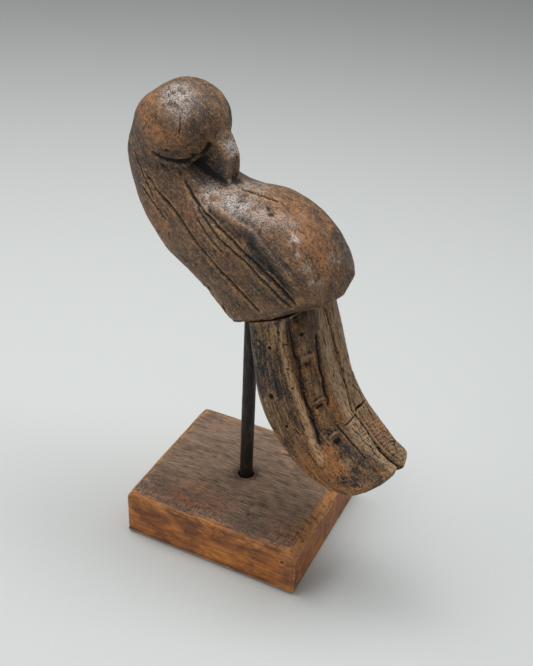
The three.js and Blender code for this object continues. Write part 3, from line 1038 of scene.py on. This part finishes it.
def carved_wood(name, dry):
    """Old dark carving. dry is 0 for handled, waxed wood and 1 for the rougher, weathered tail."""
    paint = Paint(name)
    grain = paint.stored("grain", 1)
    fibre = paint.noise(grain, 0.8, 5, 0.7, 0.4, (5 + 7 * dry, 1, 1))
    streak = paint.noise(grain, 3.2, 5, 0.65, 0.6, (5 + 3 * dry, 1, 1))
    cloud = paint.noise(grain, 12, 5, 0.62, 0.6, (1.6, 1, 1))
    speck = paint.noise(grain, 1.5, 5, 0.8, 0.5, (1.5, 1, 1))
    fleck = paint.noise(grain, 2.6, 6, 0.75, 0.8, (1.6, 1, 1))
    grit = paint.noise(grain, 0.9, 3, 0.7, 0.2, (1.2, 1, 1))
    base = paint.ramp(paint.blend(cloud, 0.55, streak, 0.45), [
        (0.38, (0.022, 0.012, 0.007)),
        (0.46, (0.085 + 0.02 * dry, 0.042 + 0.02 * dry, 0.018 + 0.012 * dry)),
        (0.54, (0.175 + 0.05 * dry, 0.083 + 0.05 * dry, 0.032 + 0.035 * dry)),
        (0.62, (0.330 + 0.10 * dry, 0.170 + 0.09 * dry, 0.066 + 0.065 * dry)),
    ])
    colour = paint.over(base, (0.520, 0.180, 0.036), 0.9, "warm", paint.span(fleck, 0.42, 0.52))
    lines = paint.span(fibre, 0.38, 0.52, 0.55 - 0.2 * dry, 1.0)
    colour = paint.darkened(colour, lines)
    colour = paint.over(colour, (0.42, 0.22, 0.09), paint.span(fibre, 0.58, 0.70, 0.0, 0.3))
    colour = paint.over(colour, (0.540, 0.290, 0.115), 0.8, "wear", paint.span(fleck, 0.40, 0.56))
    colour = paint.over(colour, (0.010, 0.007, 0.005), paint.span(speck, 0.38, 0.46, 0.8, 0.0))
    colour = paint.over(colour, (0.50, 0.270, 0.115), paint.span(fleck, 0.56, 0.64, 0.0, 0.6))
    patchy = paint.span(paint.blend(streak, 0.5, fleck, 0.5), 0.58, 0.49)
    # Dark stains, with painted shade at the seam and behind the beak.
    colour = paint.over(colour, (0.017, 0.018, 0.024), 0.95, "stain", patchy)
    # Pale wear on the tail; on the body a painted highlight in bluish white, with pale scuffs.
    pale_colour = (0.700, 0.460, 0.275) if dry else (0.740, 0.670, 0.620)
    colour = paint.over(colour, pale_colour, 0.8, "pale", paint.span(fibre if dry else grit, 0.40, 0.55))
    colour = paint.over(colour, (0.520, 0.330, 0.180), paint.span(grit, 0.56, 0.64, 0.0, 0.55))
    colour = paint.over(colour, (0.012, 0.008, 0.006), paint.span(grit, 0.36, 0.44, 0.75, 0.0))
    # Near black in hollows: dirt with painted shade.
    colour = paint.over(colour, (0.004, 0.003, 0.002), 0.97, "grime")
    rough = paint.span(speck, 0.40, 0.60, 0.50, 0.68)
    rough = paint.plus(rough, paint.times("gloss", -0.3))
    rough = paint.plus(rough, paint.times("grime", 0.3))
    relief = paint.bump(streak, 0.4)
    relief = paint.bump(fibre, 0.15 + 0.25 * dry, relief)
    relief = paint.bump(speck, 0.9, relief)
    return paint.finish(colour, rough, relief, Specular_IOR_Level=0.55 - 0.3 * dry)


def block_wood():
    """The block: orange-brown sides, a grey-brown scratched top and pale worn chamfers."""
    paint = Paint("block_wood")
    grain = paint.stored("grain", 1)
    fibre = paint.noise(grain, 0.7, 5, 0.7, 0.3, (14, 1, 1))
    streak = paint.noise(grain, 3.0, 5, 0.62, 0.8, (9, 1, 1))
    cloud = paint.noise(grain, 16, 5, 0.6, 0.8, (1.7, 1, 1))
    speck = paint.noise(grain, 1.2, 4, 0.7, 0.2)
    mixed = paint.blend(cloud, 0.6, streak, 0.4)
    even = paint.plus(paint.times(cloud, 0.2), paint.blend(streak, 0.25, fibre, 0.55))
    side = paint.ramp(mixed, [
        (0.36, (0.100, 0.027, 0.006)), (0.45, (0.290, 0.086, 0.014)),
        (0.54, (0.54, 0.172, 0.026)), (0.66, (0.76, 0.310, 0.060)),
    ])
    upper = paint.ramp(even, [
        (0.36, (0.070, 0.041, 0.026)), (0.46, (0.185, 0.116, 0.074)),
        (0.55, (0.30, 0.190, 0.120)), (0.66, (0.43, 0.280, 0.175)),
    ])
    colour = paint.mix("top", side, upper)
    colour = paint.over(colour, (0.42, 0.145, 0.045), 0.85, "warm", paint.span(streak, 0.36, 0.60))
    colour = paint.over(colour, (0.72, 0.34, 0.125), 0.85, "wear", paint.span(streak, 0.30, 0.56))
    lines = paint.span(fibre, 0.36, 0.52, 0.45, 1.0)
    colour = paint.darkened(colour, lines)
    hatch = paint.noise(grain, 0.9, 4, 0.6, 0.2, (1, 5, 5))
    colour = paint.over(colour, (0.035, 0.026, 0.026), 0.85, paint.span(hatch, 0.48, 0.58), "hatch")
    # Dark stains, with a painted contact shadow along the foot.
    colour = paint.over(colour, (0.050, 0.028, 0.018), 0.7, "stain", paint.span(cloud, 0.62, 0.42))
    colour = paint.over(colour, (0.04, 0.024, 0.016), paint.span(speck, 0.30, 0.42, 0.35, 0.0))
    # Near black in hollows: dirt with painted shade.
    colour = paint.over(colour, (0.018, 0.011, 0.008), 0.8, "grime")
    relief = paint.bump(fibre, 0.22)
    relief = paint.bump(speck, 0.22, relief)
    relief = paint.bump(hatch, 0.12, relief)
    return paint.finish(colour, paint.span(streak, 0.3, 0.7, 0.52, 0.70), relief)


def black_steel():
    """Blackened bar with brown rust in its pits and a rubbed sheen."""
    paint = Paint("black_steel")
    place = paint.place()
    patch = paint.noise(place, 5, 5, 0.65, 0.3, (1, 1, 3))
    pit = paint.noise(place, 0.9, 4, 0.7, 0.2)
    colour = paint.ramp(patch, [
        (0.35, (0.008, 0.006, 0.005)), (0.52, (0.022, 0.016, 0.012)), (0.66, (0.050, 0.036, 0.026)),
    ])
    colour = paint.over(colour, (0.105, 0.050, 0.026), paint.span(pit, 0.60, 0.72, 0.0, 0.55))
    relief = paint.bump(patch, 0.25)
    relief = paint.bump(pit, 0.18, relief)
    return paint.finish(colour, paint.span(patch, 0.3, 0.7, 0.62, 0.44), relief, Metallic=0.35)


def plated_steel():
    """Dull zinc plating on the nut and the washer."""
    paint = Paint("plated_steel")
    place = paint.place()
    cloud = paint.noise(place, 2.5, 5, 0.6, 0.4)
    scratch = paint.noise(place, 0.25, 3, 0.6, 0.0, (8, 1, 1))
    colour = paint.ramp(cloud, [
        (0.35, (0.19, 0.185, 0.175)), (0.55, (0.34, 0.335, 0.32)), (0.70, (0.47, 0.45, 0.41)),
    ])
    colour = paint.over(colour, (0.16, 0.075, 0.035), paint.span(cloud, 0.62, 0.74, 0.0, 0.6))
    relief = paint.bump(scratch, 0.03, paint.bump(cloud, 0.06))
    return paint.finish(colour, paint.span(scratch, 0.3, 0.7, 0.34, 0.55), relief, Metallic=0.9)


def peg_wood():
    """Plain pale dowel."""
    paint = Paint("peg_wood")
    place = paint.place()
    fibre = paint.noise(place, 0.4, 4, 0.65, 0.2, (1, 14, 1))
    colour = paint.ramp(fibre, [(0.35, (0.17, 0.095, 0.045)), (0.65, (0.33, 0.21, 0.115))])
    relief = paint.bump(fibre, 0.1)
    return paint.finish(colour, paint.span(fibre, 0.3, 0.7, 0.6, 0.8), relief)


def felt_cloth():
    """Dark green-grey felt with matted fibres."""
    paint = Paint("felt_cloth")
    place = paint.place()
    mat = paint.noise(place, 0.35, 5, 0.75, 1.5)
    tuft = paint.noise(place, 3, 4, 0.6, 0.5)
    colour = paint.ramp(paint.blend(mat, 0.6, tuft, 0.4), [
        (0.35, (0.008, 0.014, 0.008)), (0.65, (0.030, 0.045, 0.026)),
    ])
    relief = paint.bump(mat, 0.25, paint.bump(tuft, 0.2))
    rough = paint.span(mat, 0.3, 0.7, 0.9, 1.0)
    return paint.finish(colour, rough, relief, Sheen_Weight=0.35, Sheen_Roughness=0.5)


def floor_paint():
    paint = Paint("pale_floor")
    place = paint.place()
    weave = paint.noise(place, 1.5, 3, 0.5, 0.0)
    colour = paint.ramp(weave, [(0.3, (0.66, 0.675, 0.655)), (0.7, (0.69, 0.705, 0.685))])
    paint.set(Base_Color=colour, Roughness=paint.span(weave, 0.3, 0.7, 0.75, 0.85))
    paint.set(Specular_IOR_Level=0.2)
    return paint.material


# ---------------------------------------------------------------- putting it together


def dress(obj, node, body, material):
    """Gives a piece its material, hides the CAD node that it stands for, and hangs it on the body it rides
    on.
    """
    if body == "bird":
        turn_to_frame(obj)
    shade_smooth(obj)
    obj.data.materials.clear()
    obj.data.materials.append(material)
    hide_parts(node)
    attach(obj, body)


def repaint(node, material):
    """A CAD node that stays as it is gets its material."""
    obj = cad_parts[node]
    obj.data.materials.clear()
    obj.data.materials.append(material)


def area_light(name, place, aim, size, power, colour):
    data = bpy.data.lights.new(name, "AREA")
    data.shape = "RECTANGLE"
    data.size, data.size_y = size
    data.energy = power
    data.color = colour
    light = placed(name, data)
    light.location = place
    light.rotation_euler = (Vector(aim) - Vector(place)).to_track_quat("-Z", "Y").to_euler()


def build_stage():
    """A wide pale floor, a soft light from above and behind, a weaker one in front, and a dim sky."""
    half = 4000
    floor = new_object("floor", [(-half, -half, 0), (half, -half, 0), (half, half, 0), (-half, half, 0)],
                       [(0, 1, 2, 3)])
    floor.data.materials.append(floor_paint())
    world = bpy.data.worlds.new("studio")
    world.use_nodes = True
    world.node_tree.nodes["Background"].inputs["Color"].default_value = (0.96, 0.98, 1.0, 1)
    world.node_tree.nodes["Background"].inputs["Strength"].default_value = 0.22
    bpy.context.scene.world = world
    bpy.context.scene.view_settings.view_transform = "Standard"
    middle = (0, 0, 0.2)
    area_light("overhead", (-0.05, 0.15, 1.35), middle, (2.0, 0.6), 19, (0.96, 0.98, 1.0))
    area_light("front_left", (-1.3, -1.2, 1.1), middle, (1.2, 1.0), 9, (1.0, 0.97, 0.93))


def build_camera():
    azimuth, pitch, roll = (math.radians(CAMERA[key]) for key in ("azimuth", "pitch", "roll"))
    flat = math.cos(pitch)
    ahead = Vector((math.sin(azimuth) * flat, math.cos(azimuth) * flat, math.sin(pitch)))
    level = Vector((math.cos(azimuth), -math.sin(azimuth), 0))
    upright = level.cross(ahead)
    right = level * math.cos(roll) + upright * math.sin(roll)
    up = upright * math.cos(roll) - level * math.sin(roll)
    data = bpy.data.cameras.new("camera")
    data.lens = CAMERA["lens"]
    data.sensor_width = 36
    data.clip_start = 0.01
    camera = placed("camera", data)
    turn = Matrix((right, up, -ahead)).transposed().to_4x4()
    camera.matrix_world = Matrix.Translation(CAMERA["place"]) @ turn
    bpy.context.scene.camera = camera


build_stage()
build_camera()
build_body()
build_tail()
build_block()
build_rod()
build_felt()
repaint("washer", plated_steel())
repaint("hex_nut", plated_steel())
repaint("tail_peg", peg_wood())
